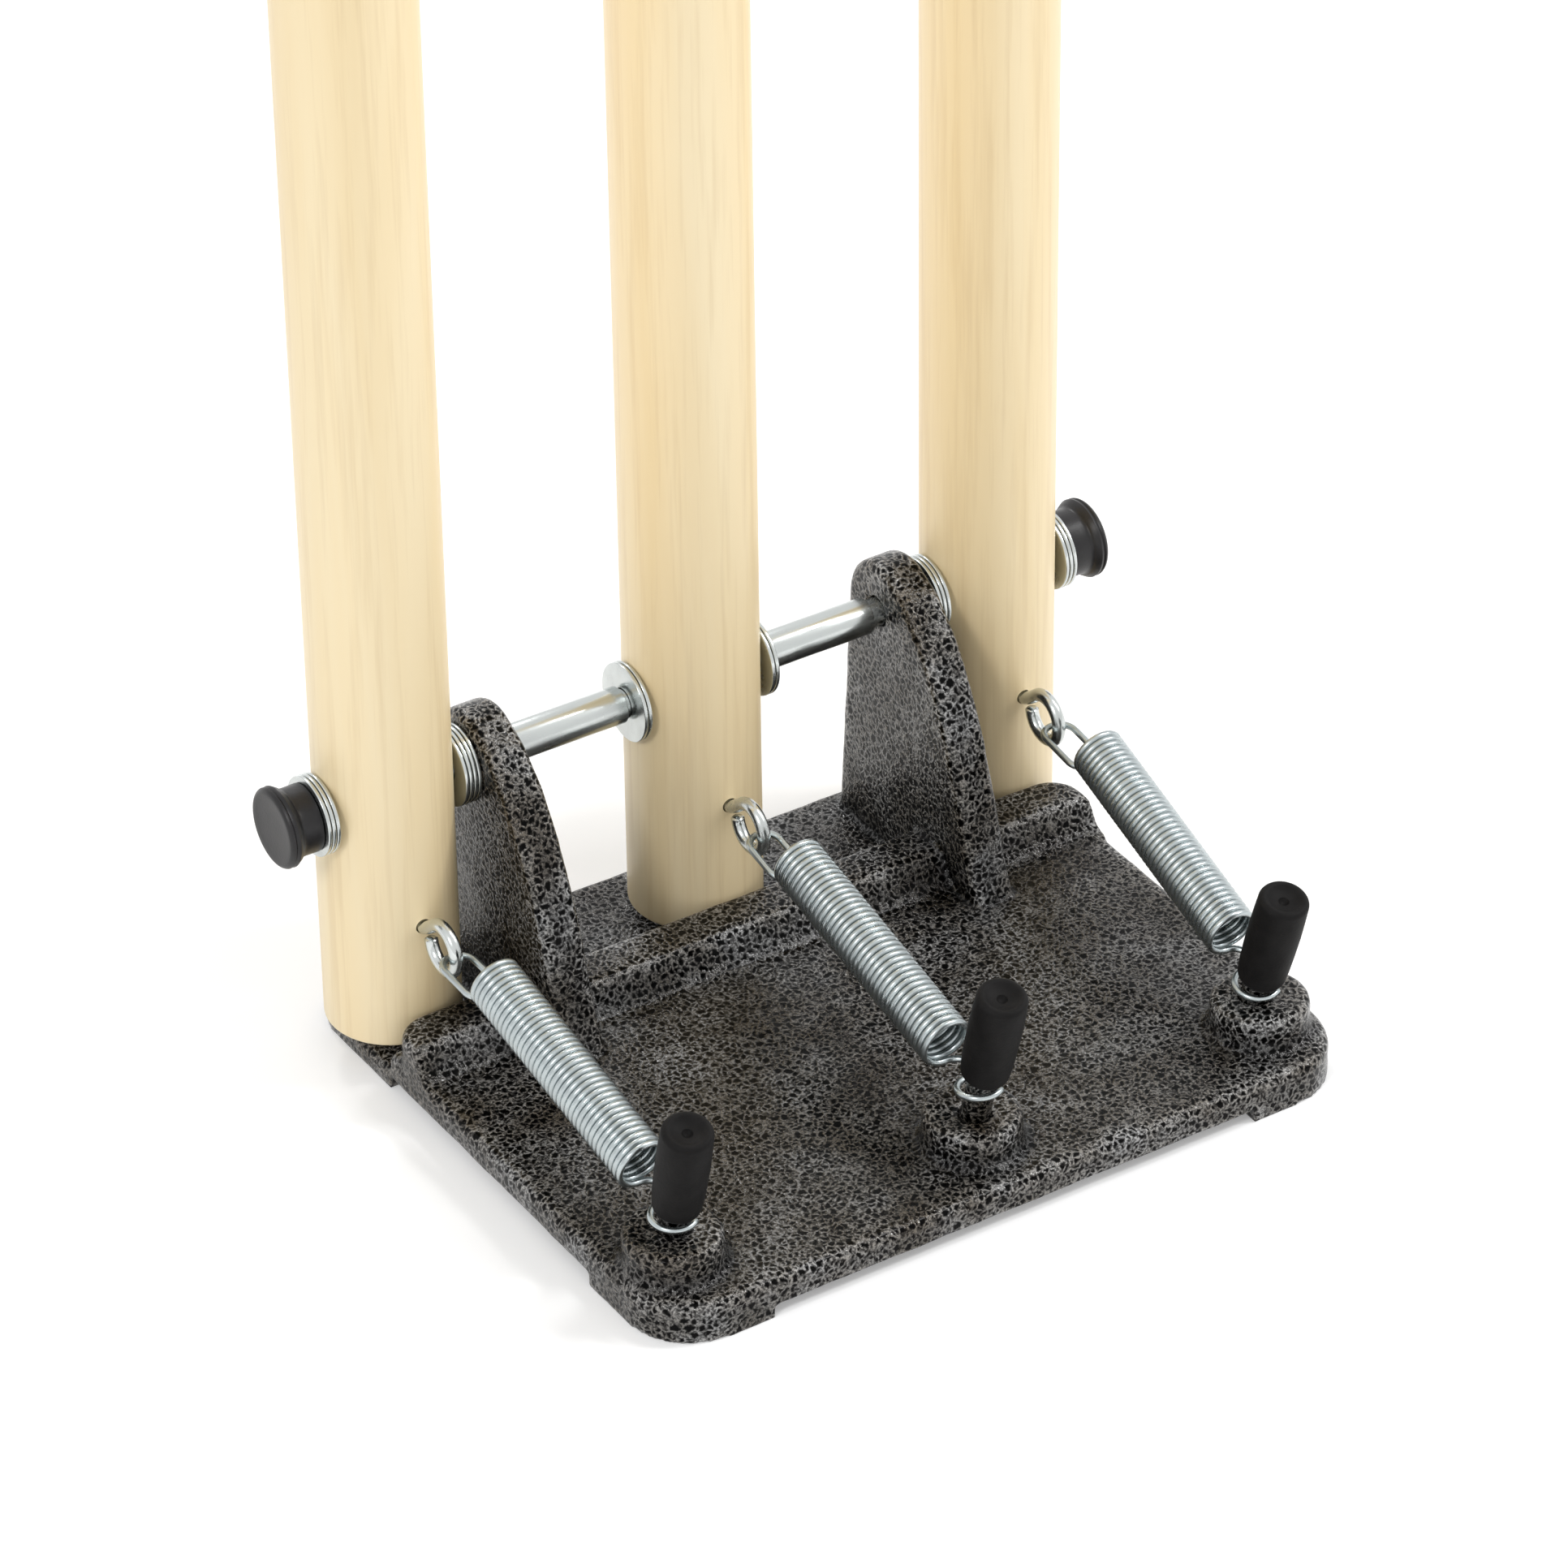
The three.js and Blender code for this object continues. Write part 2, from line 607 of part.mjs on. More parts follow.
// One unbroken wire: hook round the peg, close coil, and a long loop through the eye
function springPoints(station) {
  const wire = springWireDiameter / 2;
  const coilRadius = coilDiameter / 2 - wire;
  const { tip, hook, side } = springSeats(station);
  const pull = tip.clone().sub(hook);
  const { hookReach, topLoopLength, rimDrop } = station;
  const coilLength = pull.length() - topLoopLength - hookReach;
  pull.normalize();
  const rise = new THREE.Vector3().crossVectors(side, pull);
  const kick = coilKickDegrees * degrees;
  const along = pull.clone().multiplyScalar(Math.cos(kick)).addScaledVector(rise, Math.sin(kick));
  const up = new THREE.Vector3().crossVectors(side, along);
  const middle = hook.clone().addScaledVector(pull, hookReach + coilLength / 2);
  middle.addScaledVector(rise, -rimDrop);
  const lowRim = middle.clone().addScaledVector(along, -coilLength / 2);
  const highRim = middle.clone().addScaledVector(along, coilLength / 2);
  const place = (origin, forward, [across, ahead]) => {
    return origin.clone().addScaledVector(side, across).addScaledVector(forward, ahead);
  };

  const toHook = hook.clone().sub(lowRim);
  const hookDistance = toHook.length();
  toHook.normalize();
  const joinRadius = (hookDistance - hookRadius) / 2;
  const joint = arc(0, joinRadius, joinRadius, -90, 90, loopArcSteps);
  const sweepSteps = 2 * loopArcSteps;
  const circle = arc(0, hookDistance, hookRadius, 270, 270 - hookSweepDegrees, sweepSteps).slice(1);
  const [before, end] = circle.slice(-2).map(([across, ahead]) => new THREE.Vector2(across, ahead));
  const tail = end.clone().addScaledVector(end.clone().sub(before).normalize(), springWireDiameter);
  const hookLine = [...joint, ...circle, [tail.x, tail.y]];
  const lower = hookLine.slice(1).reverse().map((spot) => place(lowRim, toHook, spot));

  const coil = [];
  for (let i = 0; i <= coilCurls * curlSteps; i += 1) {
    const turn = i / curlSteps;
    const angle = 2 * Math.PI * turn;
    const point = lowRim.clone().addScaledVector(up, coilRadius * (1 - Math.cos(angle)));
    point.addScaledVector(side, -coilRadius * Math.sin(angle));
    coil.push(point.addScaledVector(along, coilLength * turn / coilCurls));
  }

  const toTip = tip.clone().sub(highRim);
  const tipDistance = toTip.length();
  toTip.normalize();
  const crown = tipDistance - topLoopRadius;
  const quarter = arc(0, topLoopRadius, topLoopRadius, 270, 180, loopArcSteps / 2).slice(1);
  const half = arc(0, crown, topLoopRadius, 180, 0, loopArcSteps);
  const loopLine = [...quarter, ...half, [topLoopRadius, topLoopCutGap]];
  const upper = loopLine.map((spot) => place(highRim, toTip, spot));
  return [...lower, ...coil, ...upper];
}

// Least gap of a wire to itself, measured from points to the runs over half a curl away
function leastGap(points) {
  const apart = Math.PI * (coilDiameter - springWireDiameter) / 2;
  const lengths = [0];
  for (let i = 1; i < points.length; i += 1) {
    lengths.push(lengths[i - 1] + points[i].distanceTo(points[i - 1]));
  }
  let least = Infinity;
  const nearest = new THREE.Vector3();
  for (let i = 0; i < points.length; i += 1) {
    for (let j = i + 1; j < points.length - 1; j += 1) {
      if (lengths[j] - lengths[i] > apart) {
        new THREE.Line3(points[j], points[j + 1]).closestPointToPoint(points[i], true, nearest);
        least = Math.min(least, nearest.distanceTo(points[i]));
      }
    }
  }
  return least - springWireDiameter;
}

// A washer, a spacer tube and an end cap, spun about X from their left faces
function ringGeometry(outer, inner, length, sides) {
  return spinAlongX([[inner, 0], [outer, 0], [outer, length], [inner, length], [inner, 0]], sides);
}

function capGeometry() {
  const body = capBodyDiameter / 2;
  const flange = capFlangeDiameter / 2;
  const neck = capLength - capFlangeLength;
  return spinAlongX([
    [0, capLength - capFaceThickness],
    [boreRadius, capLength - capFaceThickness],
    [boreRadius, 0],
    [body, 0],
    ...arc(body + capNeckFillet, neck - capNeckFillet, capNeckFillet, 180, 90, roundSteps - 1),
    ...arc(flange - capRimRadius, capLength - capRimRadius, capRimRadius, 0, 90, roundSteps),
    [0, capLength],
  ], capSides);
}

// Assembly
const stumps = new THREE.Group();

function place(name, geometry, material, parent = stumps) {
  const mesh = new THREE.Mesh(closedMesh(geometry), material);
  mesh.name = name;
  parent.add(mesh);
  return mesh;
}

place('base_casting', baseCasting(), castPaint());

const axle = new THREE.Group();
axle.position.set(0, axleY, axleHeight);
stumps.add(axle);
place('axle_rod', rod(rodRadius, 2 * rodHalfLength, rodSides).rotateY(Math.PI / 2), zinc(), axle);

// Spacer tubes: the left one stands off the middle washers, the right one touches them
const middleStackEnd = stumpRadius + washerGap + middleWasherCount * washerPitch;
const tubeRadius = tubeDiameter / 2;
const leftTube = place('spacer_tube_left', ringGeometry(tubeRadius, boreRadius, tubeLength, rodSides), zinc(), axle);
leftTube.position.x = -middleStackEnd - tubeBareRod - tubeLength;
const rightTube = place('spacer_tube_right', ringGeometry(tubeRadius, boreRadius, tubeLength, rodSides), zinc(), axle);
rightTube.position.x = middleStackEnd;

// Washer stacks, each counted away from the stump's face that it lies against
const washerStacks = [
  ['washer_left_outer', -stumpPitch - stumpRadius, -1, outerWasherCount],
  ['washer_left_inner', -stumpPitch + stumpRadius, 1, leftInnerWasherCount],
  ['washer_middle_left', -stumpRadius, -1, middleWasherCount],
  ['washer_middle_right', stumpRadius, 1, middleWasherCount],
  ['washer_right_inner', stumpPitch - stumpRadius, -1, rightInnerWasherCount],
  ['washer_right_outer', stumpPitch + stumpRadius, 1, outerWasherCount],
];
for (const [name, face, hand, count] of washerStacks) {
  for (let i = 0; i < count; i += 1) {
    const geometry = ringGeometry(washerDiameter / 2, boreRadius, washerThickness, washerSides);
    const washer = place(`${name}_${i + 1}`, geometry, zinc(), axle);
    const near = face + hand * (washerGap + i * washerPitch);
    washer.position.x = hand > 0 ? near : near - washerThickness;
  }
}

const leftCap = place('axle_cap_left', capGeometry(), blackCap(), axle);
leftCap.rotation.z = Math.PI;
leftCap.position.x = -outerStackEnd;
const rightCap = place('axle_cap_right', capGeometry(), blackCap(), axle);
rightCap.position.x = outerStackEnd;

for (const station of stations) {
  const { foot, direction, turn } = pegLine(station);
  const peg = new THREE.Group();
  peg.position.copy(foot);
  peg.quaternion.copy(turn);
  stumps.add(peg);
  place(`spring_peg_${station.name}`, pegGeometry(station), zinc(), peg);
  const sleeve = place(`peg_sleeve_${station.name}`, sleeveGeometry(), rubber());
  sleeve.position.copy(foot).addScaledVector(direction, station.sleeveLift);
  sleeve.quaternion.copy(turn);

  const hinge = new THREE.Group();
  hinge.position.set(station.x, axleY, axleHeight);
  stumps.add(hinge);
  place(`stump_${station.name}`, stumpGeometry(station), wood(), hinge);
  place(`screw_eye_${station.name}`, eyeGeometry(station), zinc(), hinge);

  const points = springPoints(station);
  place(`spring_${station.name}`, sweep(points, springWireDiameter / 2, springSides), zinc());
  console.log(`least gap of spring_${station.name} to itself: ${leastGap(points).toFixed(2)} mm`);
}

export default stumps;
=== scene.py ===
import math

import bmesh
import bpy
import numpy as np
from mathutils import Matrix, Vector, noise


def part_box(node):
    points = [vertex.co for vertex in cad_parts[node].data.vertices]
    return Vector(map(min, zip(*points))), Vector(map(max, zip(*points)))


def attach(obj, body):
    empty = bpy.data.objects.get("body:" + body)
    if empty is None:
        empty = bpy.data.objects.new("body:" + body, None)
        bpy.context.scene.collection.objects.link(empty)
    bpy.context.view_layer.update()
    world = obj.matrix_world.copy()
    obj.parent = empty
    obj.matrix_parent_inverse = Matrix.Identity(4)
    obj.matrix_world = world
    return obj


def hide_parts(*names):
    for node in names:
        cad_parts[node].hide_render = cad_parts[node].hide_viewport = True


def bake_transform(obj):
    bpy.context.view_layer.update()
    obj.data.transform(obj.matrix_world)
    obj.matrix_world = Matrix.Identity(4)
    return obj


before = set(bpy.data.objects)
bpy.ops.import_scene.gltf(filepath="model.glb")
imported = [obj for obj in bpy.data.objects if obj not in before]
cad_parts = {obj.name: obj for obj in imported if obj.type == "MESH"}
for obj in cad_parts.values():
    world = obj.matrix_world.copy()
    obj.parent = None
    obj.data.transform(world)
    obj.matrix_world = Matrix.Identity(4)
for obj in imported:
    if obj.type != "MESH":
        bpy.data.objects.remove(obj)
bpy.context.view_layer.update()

# Sizes are in millimetres, and turned to metres when a mesh is made.
MM = 0.001

# ---------------------------------------------------------------- camera
camera_data = bpy.data.cameras.new("camera")
camera_data.sensor_fit = "HORIZONTAL"
camera_data.sensor_width = 36
camera_data.lens = 170.304
camera_data.clip_end = 20
camera = bpy.data.objects.new("camera", camera_data)
camera.location = (-0.86558, -1.35166, 1.18108)
camera.rotation_euler = [math.radians(angle) for angle in (55.6558, 0.6149, -32.675)]
bpy.context.scene.collection.objects.link(camera)
bpy.context.scene.camera = camera

# ---------------------------------------------------------------- sizes, in mm
AXLE_Y = 66.0
AXLE_Z = 81.1
STUMP_PITCH = 95.65
STUMP_RADIUS = 18.65
STUMP_TOP = 711.2
STUMP_FOOT = 10.8
DOME_RISE = 7.0
FOOT_BEVEL = 1.2
BAIL_GROOVE_RADIUS = 8
BAIL_GROOVE_DEPTH = 3.5
ROD_RADIUS = 4
ROD_DRAWN_LENGTH = 260.64
BORE_RADIUS = 4.3
TUBE_RADIUS = 5.2
WASHER_RADIUS = 11.2
RIM_BEVEL = 0.3
BOSS_TOP = 21.5
PEG_SEAT = 6.5
PEG_RADIUS = 4
PEG_TOP = 32.2
PILOT_RADIUS = 2.15
PILOT_DEPTH = 19
WIRE_RADIUS = 0.93
COIL_OUTSIDE = 15.3
COIL_TURNS = 38
CAD_WIRE_RADIUS = 0.75
HOOK_RADIUS = 5.9
HOOK_SWEEP = 205
TOP_LOOP_RADIUS = 4.6
SEAT_GAP = 0.45
COIL_KICK = math.radians(3.3)
EYE_RING = 6.55
EYE_WIRE = 1.85
EYE_REACH = 10.4
EYE_RISE = 1.0
EYE_NECK = 50

# The casting's skin, in metres. A swell is given by its scale and its height.
SKIN_VOXEL = 0.0008
SKIN_SWELLS = ((95, 0.00016), (310, 0.00007))
SKIN_INSET = 0.00002
# Rounds of smoothing that find the hollows, given painted shade, and the edges, given painted
# highlights.
PAINTED_LIGHT_ROUNDS = 30

# One row for each stump: where its peg stands and leans (degrees), the height of its eye, how far
# up the peg the sleeve and the hook sit, and the reach, loop and drop of the spring's two ends.
STATIONS = [
    dict(name="left", x=-STUMP_PITCH, peg_x=-91.1, peg_y=-68.9, lean=15.3, splay=-2, eye=47.1,
         sleeve=7.4, hook=3.6, reach=15.3, loop=18.5, drop=0.2),
    dict(name="middle", x=0, peg_x=0, peg_y=-71.2, lean=15.5, splay=0, eye=49.4,
         sleeve=15, hook=9.6, reach=16.2, loop=17.8, drop=3.0),
    dict(name="right", x=STUMP_PITCH, peg_x=91.1, peg_y=-68.9, lean=15.3, splay=2, eye=49.2,
         sleeve=6.4, hook=3.6, reach=14.3, loop=20.2, drop=-0.9),
]


# ---------------------------------------------------------------- materials
def material(name, color, roughness, metallic=0.0):
    """A new material with its node tree and its shader."""
    made = bpy.data.materials.new(name)
    made.use_nodes = True
    tree = made.node_tree
    shader = tree.nodes["Principled BSDF"]
    shader.inputs["Base Color"].default_value = (*color, 1)
    shader.inputs["Roughness"].default_value = roughness
    shader.inputs["Metallic"].default_value = metallic
    return made, tree, shader


def node(tree, kind, **settings):
    """A node whose settings are sockets where it has them and properties where it hasn't."""
    made = tree.nodes.new(kind)
    for key, value in settings.items():
        if key in made.inputs:
            made.inputs[key].default_value = value
        else:
            setattr(made, key, value)
    return made


def coordinates(tree, scale=(1, 1, 1)):
    """Object coordinates, squeezed along an axis for marks that run along it."""
    place = node(tree, "ShaderNodeTexCoord")
    mapping = node(tree, "ShaderNodeMapping")
    mapping.inputs["Scale"].default_value = scale
    tree.links.new(place.outputs["Object"], mapping.inputs["Vector"])
    return mapping.outputs["Vector"]


def ramp(tree, factor, stops):
    made = node(tree, "ShaderNodeValToRGB")
    elements = made.color_ramp.elements
    while len(elements) < len(stops):
        elements.new(0.5)
    for element, (position, color) in zip(elements, stops):
        element.position = position
        element.color = (*color, 1)
    tree.links.new(factor, made.inputs["Fac"])
    return made.outputs["Color"]


def bump(tree, height, strength, distance, shader):
    """Relief on the shader's normal; distance is in metres."""
    made = node(tree, "ShaderNodeBump", Strength=strength, Distance=distance)
    tree.links.new(height, made.inputs["Height"])
    tree.links.new(made.outputs["Normal"], shader.inputs["Normal"])
    return made.outputs["Normal"]


def multiplied(tree, one, two, share=1):
    made = node(tree, "ShaderNodeMixRGB", blend_type="MULTIPLY")
    made.inputs["Fac"].default_value = share
    tree.links.new(one, made.inputs["Color1"])
    tree.links.new(two, made.inputs["Color2"])
    return made.outputs["Color"]


def mapped(tree, value, **limits):
    """A value mapped from one range to another; limits are from_min, from_max, to_min, to_max."""
    made = node(tree, "ShaderNodeMapRange")
    for key, limit in limits.items():
        made.inputs[key.replace("_", " ").title()].default_value = limit
    tree.links.new(value, made.inputs["Value"])
    return made.outputs["Result"]


def grey(value):
    return (value, value, value)


def scaled(color, share):
    return tuple(channel * share for channel in color)


def hammer_paint():
    """Black-grey hammer paint: a glossy net of grey flecks round black pits, with painted shade in
    hollows and painted highlights on edges.
    """
    made, tree, shader = material("hammer_paint", (0.06, 0.058, 0.055), 0.2)
    shader.inputs["Specular IOR Level"].default_value = 0.55
    shader.inputs["Coat Weight"].default_value = 0.12
    shader.inputs["Coat Roughness"].default_value = 0.12
    spot = coordinates(tree)
    wander = node(tree, "ShaderNodeTexNoise", Scale=520, Detail=2)
    tree.links.new(spot, wander.inputs["Vector"])
    warped = node(tree, "ShaderNodeMixRGB", blend_type="LINEAR_LIGHT")
    warped.inputs["Fac"].default_value = 0.0011
    tree.links.new(spot, warped.inputs["Color1"])
    tree.links.new(wander.outputs["Color"], warped.inputs["Color2"])
    cells = node(tree, "ShaderNodeTexVoronoi", feature="DISTANCE_TO_EDGE", Scale=500)
    tree.links.new(warped.outputs["Color"], cells.inputs["Vector"])
    pits = ramp(tree, cells.outputs["Distance"], [
        (0.03, grey(1)), (0.13, grey(0.42)), (0.24, grey(0.01))])
    fine = node(tree, "ShaderNodeTexNoise", Scale=1150, Detail=2, Roughness=0.6)
    tree.links.new(spot, fine.inputs["Vector"])
    flecks = ramp(tree, fine.outputs["Fac"], [
        (0.38, grey(0.18)), (0.5, grey(0.5)), (0.6, grey(1))])
    cloud = node(tree, "ShaderNodeTexNoise", Scale=55, Detail=3)
    tree.links.new(spot, cloud.inputs["Vector"])
    tint = ramp(tree, cloud.outputs["Fac"], [
        (0.36, (0.07, 0.058, 0.043)), (0.5, (0.15, 0.141, 0.129)), (0.64, (0.23, 0.229, 0.228))])
    grain = multiplied(tree, pits, flecks)
    color = multiplied(tree, grain, tint)
    # Painted shade darkens the colour in hollows and painted highlights lighten it over edges.
    painted_light_hollow = node(tree, "ShaderNodeAttribute", attribute_name="painted_light_hollow")
    painted_shade_and_highlight = mapped(tree, painted_light_hollow.outputs["Fac"], from_min=-1, from_max=1, to_min=1.9, to_max=0.1)
    tree.links.new(multiplied(tree, color, painted_shade_and_highlight), shader.inputs["Base Color"])
    rough = ramp(tree, grain, [(0.05, grey(0.3)), (0.6, grey(0.13))])
    tree.links.new(rough, shader.inputs["Roughness"])
    # A pit is a black metal, so it mirrors only what the thin coat does. The net is glossy.
    black = ramp(tree, grain, [(0.06, grey(1)), (0.45, grey(0))])
    tree.links.new(black, shader.inputs["Metallic"])
    tree.links.new(bump(tree, grain, 0.9, 0.00012, shader), shader.inputs["Coat Normal"])
    return made


def zinc_plate(name, color, roughness, streak):
    """Bright zinc: a metal with faint cloudy and drawn marks."""
    made, tree, shader = material(name, color, roughness, 1.0)
    cloud = node(tree, "ShaderNodeTexNoise", Scale=160, Detail=4)
    tree.links.new(coordinates(tree, streak), cloud.inputs["Vector"])
    tint = ramp(tree, cloud.outputs["Fac"], [(0.3, scaled(color, 0.86)), (0.7, color)])
    tree.links.new(tint, shader.inputs["Base Color"])
    rough = ramp(tree, cloud.outputs["Fac"], [
        (0.3, grey(roughness + 0.08)), (0.7, grey(roughness - 0.05))])
    tree.links.new(rough, shader.inputs["Roughness"])
    fine = node(tree, "ShaderNodeTexNoise", Scale=900, Detail=2)
    tree.links.new(coordinates(tree, streak), fine.inputs["Vector"])
    bump(tree, fine.outputs["Fac"], 0.12, 0.0002, shader)
    return made


def pale_wood():
    """Pale turned timber under clear varnish: long grain, fine pores and a few warm bands."""
    made, tree, shader = material("pale_wood", (0.8, 0.65, 0.4), 0.42)
    shader.inputs["Coat Weight"].default_value = 0.15
    shader.inputs["Coat Roughness"].default_value = 0.3
    band = node(tree, "ShaderNodeTexNoise", Scale=38, Detail=4, Roughness=0.55, Distortion=0.6)
    tree.links.new(coordinates(tree, (1, 1, 0.09)), band.inputs["Vector"])
    pore = node(tree, "ShaderNodeTexNoise", Scale=330, Detail=3, Roughness=0.65)
    tree.links.new(coordinates(tree, (1, 1, 0.035)), pore.inputs["Vector"])
    wide = ramp(tree, band.outputs["Fac"], [
        (0.3, (0.87, 0.69, 0.40)), (0.5, (0.91, 0.745, 0.465)), (0.72, (0.93, 0.785, 0.52))])
    thin = ramp(tree, pore.outputs["Fac"], [
        (0.33, (0.80, 0.74, 0.66)), (0.52, (1, 1, 1))])
    tree.links.new(multiplied(tree, wide, thin, 0.38), shader.inputs["Base Color"])
    bump(tree, pore.outputs["Fac"], 0.1, 0.0002, shader)
    return made


def black_rubber(name, color, roughness, gloss, grain):
    """Black rubber or soft plastic with a fine grain."""
    made, tree, shader = material(name, color, roughness)
    shader.inputs["Specular IOR Level"].default_value = gloss
    cloud = node(tree, "ShaderNodeTexNoise", Scale=180, Detail=5)
    tree.links.new(coordinates(tree), cloud.inputs["Vector"])
    tint = ramp(tree, cloud.outputs["Fac"], [
        (0.3, scaled(color, 0.65)), (0.7, scaled(color, 1.3))])
    tree.links.new(tint, shader.inputs["Base Color"])
    fine = node(tree, "ShaderNodeTexNoise", Scale=1500, Detail=3)
    tree.links.new(coordinates(tree), fine.inputs["Vector"])
    bump(tree, fine.outputs["Fac"], grain, 0.0002, shader)
    return made


PAINT = hammer_paint()
ZINC = zinc_plate("zinc_turned", (0.62, 0.65, 0.64), 0.22, (0.3, 1, 1))
SPRING = zinc_plate("zinc_wire", (0.49, 0.54, 0.55), 0.27, (1, 1, 1))
WOOD = pale_wood()
RUBBER = black_rubber("sleeve_rubber_black", (0.008, 0.0075, 0.0075), 0.6, 0.12, 0.35)
CAP = black_rubber("cap_rubber_black", (0.010, 0.009, 0.010), 0.38, 0.4, 0.15)


# ---------------------------------------------------------------- mesh tools
def mark_sharp(mesh, degrees):
    """Turns all faces outwards and shades them smooth, apart from edges sharper than degrees."""
    made = bmesh.new()
    made.from_mesh(mesh)
    bmesh.ops.recalc_face_normals(made, faces=made.faces)
    for edge in made.edges:
        edge.smooth = len(edge.link_faces) == 2 and edge.calc_face_angle() < math.radians(degrees)
    for face in made.faces:
        face.smooth = True
    made.to_mesh(mesh)
    made.free()


def piece(name, points, faces, finish, sharp=32):
    """An object from points in millimetres."""
    mesh = bpy.data.meshes.new(name)
    mesh.from_pydata([Vector(point) * MM for point in points], [], faces)
    mark_sharp(mesh, sharp)
    mesh.materials.append(finish)
    made = bpy.data.objects.new(name, mesh)
    bpy.context.scene.collection.objects.link(made)
    return made


def lathe(profile, sides):
    """Points and faces of a closed form turned about Z.

    The profile's pairs are radius and height. It runs from axis to axis or else in a ring.
    """
    points, faces, rows = [], [], []
    ring_closed = profile[0][0] > 0
    for radius, height in profile:
        if radius == 0:
            rows.append([len(points)])
            points.append((0, 0, height))
        else:
            rows.append(list(range(len(points), len(points) + sides)))
            for k in range(sides):
                angle = 2 * math.pi * k / sides
                points.append((radius * math.cos(angle), radius * math.sin(angle), height))
    pairs = list(zip(rows, rows[1:]))
    if ring_closed:
        pairs.append((rows[-1], rows[0]))
    for low, high in pairs:
        for k in range(sides):
            n = (k + 1) % sides
            if len(low) == 1:
                faces.append((low[0], high[n], high[k]))
            elif len(high) == 1:
                faces.append((low[k], low[n], high[0]))
            else:
                faces.append((low[k], low[n], high[n], high[k]))
    return points, faces


def arc(x, y, radius, start, stop, steps):
    """Points on a circle from one angle to another, in degrees."""
    made = []
    for i in range(steps + 1):
        angle = math.radians(start + (stop - start) * i / steps)
        made.append((x + radius * math.cos(angle), y + radius * math.sin(angle)))
    return made


def turned(name, profile, sides, finish, place, sharp=32):
    """A turned piece, set down by the matrix place."""
    points, faces = lathe(profile, sides)
    return piece(name, [place @ Vector(point) for point in points], faces, finish, sharp)


def along_axle(x, hand=1):
    """Stands a turned form's Z axis along the axle, starting at x and growing towards hand."""
    turn = Matrix.Rotation(math.radians(90 * hand), 4, "Y")
    return Matrix.Translation((x, AXLE_Y, AXLE_Z)) @ turn


def swept(name, path, radius, sides, finish):
    """A round wire along a path, closed at both ends with a small chamfer."""
    points, faces = [], []
    normal = Vector((0, 0, 1))
    first = (path[1] - path[0]).normalized()
    if abs(first.z) > 0.7:
        normal = Vector((1, 0, 0))
    chamfer = 0.28
    inset = radius * chamfer
    stops = [(path[0], 1 - chamfer), (path[0] + first * inset, 1.0)]
    stops += [(point, 1.0) for point in path[1:-1]]
    last = (path[-2] - path[-1]).normalized()
    stops += [(path[-1] + last * inset, 1.0), (path[-1], 1 - chamfer)]
    centres = [stop[0] for stop in stops]
    for i, (centre, share) in enumerate(stops):
        before = centres[max(i - 1, 0)]
        after = centres[min(i + 1, len(centres) - 1)]
        tangent = (after - before).normalized()
        normal = (normal - tangent * normal.dot(tangent)).normalized()
        binormal = tangent.cross(normal)
        for k in range(sides):
            angle = 2 * math.pi * k / sides
            spoke = normal * math.cos(angle) + binormal * math.sin(angle)
            points.append(centre + spoke * radius * share)
    for i in range(len(stops) - 1):
        for k in range(sides):
            n = (k + 1) % sides
            faces.append((i * sides + k, i * sides + n, (i + 1) * sides + n, (i + 1) * sides + k))
    faces.append(tuple(range(sides))[::-1])
    end = (len(stops) - 1) * sides
    faces.append(tuple(range(end, end + sides)))
    return piece(name, points, faces, finish, 50)


def baked(made):
    """Replaces an object's mesh by the result of its modifiers."""
    depsgraph = bpy.context.evaluated_depsgraph_get()
    depsgraph.update()
    mesh = bpy.data.meshes.new_from_object(made.evaluated_get(depsgraph))
    made.modifiers.clear()
    made.data = mesh


def carve(made, cutters):
    """Cuts the cutters out of an object and removes them."""
    for cutter in cutters:
        change = made.modifiers.new("cut", "BOOLEAN")
        change.operation = "DIFFERENCE"
        change.solver = "EXACT"
        change.object = cutter
    baked(made)
    for cutter in cutters:
        bpy.data.objects.remove(cutter)


def stand_in(made, body, name):
    """The object takes the place of the CAD node called name and rides on its body."""
    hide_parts(name)
    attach(made, body)


